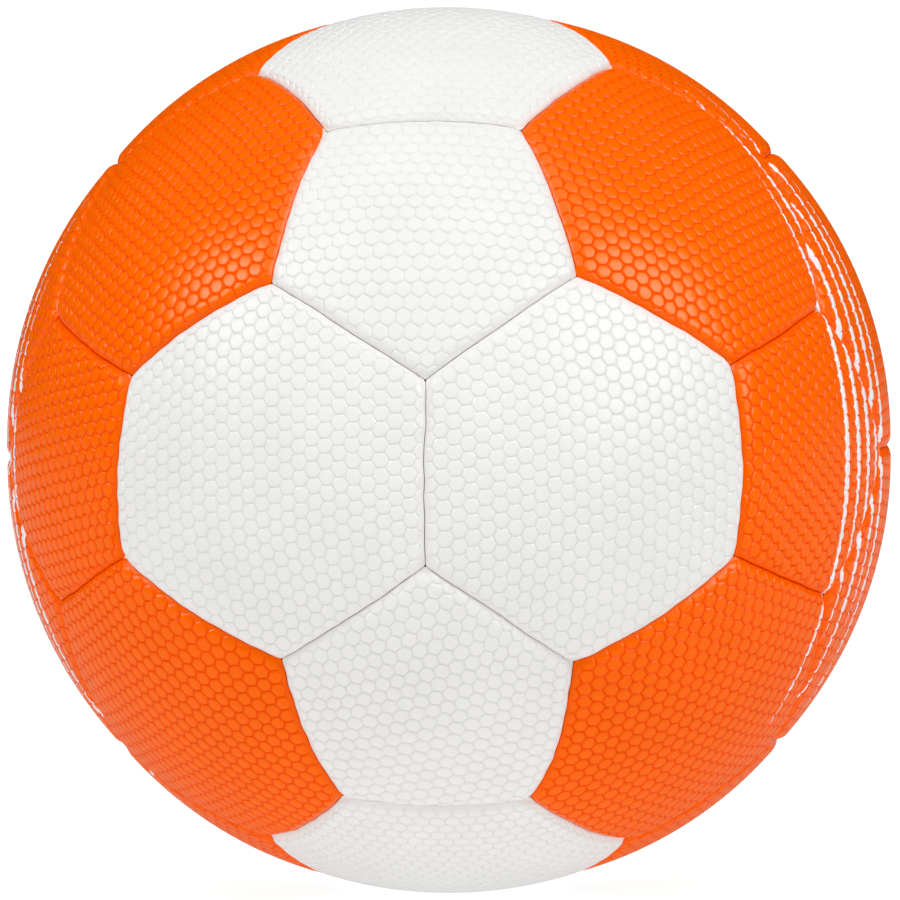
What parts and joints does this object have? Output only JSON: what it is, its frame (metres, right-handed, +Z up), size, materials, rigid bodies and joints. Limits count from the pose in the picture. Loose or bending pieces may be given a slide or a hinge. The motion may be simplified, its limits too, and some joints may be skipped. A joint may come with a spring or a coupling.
{
  "type": "handball",
  "caption": "Hand-stitched handball with white and orange honeycomb-embossed pentagon and hexagon panels, foam and fabric backing, rubber bladder and inflation valve.",
  "frame": {"origin": "middle of the ball", "axes": "+Z up; the picture looks along +Y at the seam between the two front white hexagons, with +X to the right; the valve is in the back right white hexagon"},
  "size_m": [0.187, 0.187, 0.187],
  "materials": {
    "white_leather": "satin embossed synthetic leather",
    "orange_leather": "satin embossed synthetic leather",
    "foam": "matte closed-cell foam",
    "lining_fabric": "plain-woven laminated cloth",
    "seam_thread": "waxed twisted thread",
    "bladder_rubber": "matte rubber",
    "patch_rubber": "matte calendered rubber",
    "valve_rubber": "matte moulded rubber"
  },
  "bodies": {
    "root": {"front_left_white_hexagon": "white_leather", "front_right_white_hexagon": "white_leather", "back_left_white_hexagon": "white_leather", "back_right_white_hexagon": "white_leather", "front_upper_white_hexagon": "white_leather", "front_lower_white_hexagon": "white_leather", "back_upper_white_hexagon": "white_leather", "back_lower_white_hexagon": "white_leather", "upper_left_orange_hexagon": "orange_leather", "upper_right_orange_hexagon": "orange_leather", "lower_left_orange_hexagon": "orange_leather", "lower_right_orange_hexagon": "orange_leather", "front_upper_left_orange_hexagon": "orange_leather", "front_upper_right_orange_hexagon": "orange_leather", "front_lower_left_orange_hexagon": "orange_leather", "front_lower_right_orange_hexagon": "orange_leather", "back_upper_left_orange_hexagon": "orange_leather", "back_upper_right_orange_hexagon": "orange_leather", "back_lower_left_orange_hexagon": "orange_leather", "back_lower_right_orange_hexagon": "orange_leather", "front_upper_white_pentagon": "white_leather", "front_lower_white_pentagon": "white_leather", "back_upper_white_pentagon": "white_leather", "back_lower_white_pentagon": "white_leather", "upper_left_orange_pentagon": "orange_leather", "upper_right_orange_pentagon": "orange_leather", "lower_left_orange_pentagon": "orange_leather", "lower_right_orange_pentagon": "orange_leather", "front_left_orange_pentagon": "orange_leather", "front_right_orange_pentagon": "orange_leather", "back_left_orange_pentagon": "orange_leather", "back_right_orange_pentagon": "orange_leather", "hexagon_foam_backing": "foam", "pentagon_foam_backing": "foam", "hexagon_fabric_lining": "lining_fabric", "pentagon_fabric_lining": "lining_fabric", "hexagon_seam_thread": "seam_thread", "pentagon_seam_thread": "seam_thread", "bladder": "bladder_rubber", "valve_reinforcement_patch": "patch_rubber", "valve_body": "valve_rubber", "valve_plug": "valve_rubber"}
  },
  "joints": []
}
